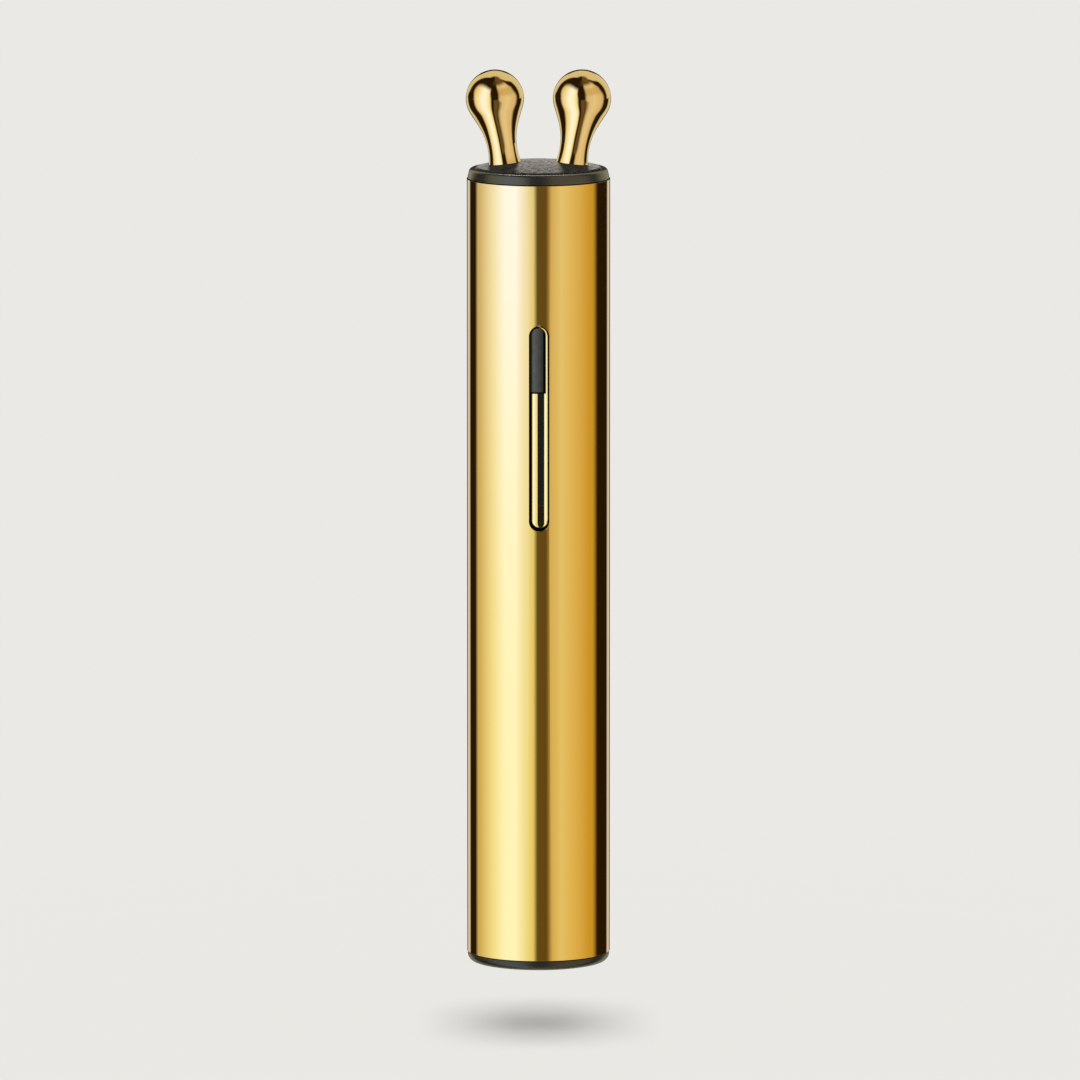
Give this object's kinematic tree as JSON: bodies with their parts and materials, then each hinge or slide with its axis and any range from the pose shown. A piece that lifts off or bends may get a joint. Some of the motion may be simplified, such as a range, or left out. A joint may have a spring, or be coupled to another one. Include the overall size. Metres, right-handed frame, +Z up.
{
  "type": "microcurrent facial wand",
  "caption": "Slim gold handheld wand with two ball-ended facial electrodes in a domed black cap and a thumb slider in a slot on the front.",
  "frame": {"origin": "centre of the bottom cap's flat underside", "axes": "+Z up the barrel towards the electrodes, -Y out of the slot that the slider runs in, electrodes towards -X and +X"},
  "size_m": [0.0262, 0.026, 0.1633],
  "materials": {
    "gold_plate": "polished gold plating",
    "black_cap": "fine-grained black moulding",
    "slider_grey": "matte dark grey, fine spark texture",
    "steel": "zinc-plated steel",
    "dark_steel": "blackened sheet steel",
    "nickel": "nickel plating",
    "copper": "enamelled copper wire",
    "rubber": "black silicone rubber",
    "moulding": "natural moulded plastic",
    "board": "green solder mask",
    "chip": "black moulded package",
    "track": "brown laminate",
    "cell_wrap": "blue shrink sleeve",
    "wire_sleeve": "red and black sleeving"
  },
  "bodies": {
    "housing": {"barrel": "gold_plate", "top_ring": "black_cap", "electrode_carrier": "black_cap", "electrode_left": "gold_plate", "electrode_right": "gold_plate", "electrode_seals": "rubber", "electrode_washers": "steel", "lead_terminals": "nickel", "electrode_nuts": "steel", "carrier_screws": "steel", "bottom_cap": "black_cap", "cap_seal": "rubber", "cap_screws": "steel", "chassis": "moulding", "slide_channel": "gold_plate", "channel_gasket": "rubber", "fader_housing": "dark_steel", "fader_track": "track", "fader_terminals": "nickel", "main_board": "board", "board_screws": "steel", "controller_chip": "chip", "driver_chips": "chip", "inductor_core": "chip", "inductor_coil": "copper", "reservoir_capacitors": "steel", "lead_socket": "moulding", "charge_board": "board", "charge_port": "steel", "port_tongue": "chip", "charge_chip": "chip", "battery": "cell_wrap", "battery_tabs": "nickel", "battery_pad": "rubber", "battery_leads": "wire_sleeve", "supply_leads": "wire_sleeve", "electrode_leads": "wire_sleeve"},
    "slider": {"thumb_slider": "slider_grey", "slider_lever": "nickel", "fader_carriage": "chip", "fader_contacts": "nickel"}
  },
  "joints": [
    {"name": "slider_slide", "type": "slide", "parent": "housing", "child": "slider", "axis": [0, 0, -1], "range_m": [0, 0.0232]}
  ]
}
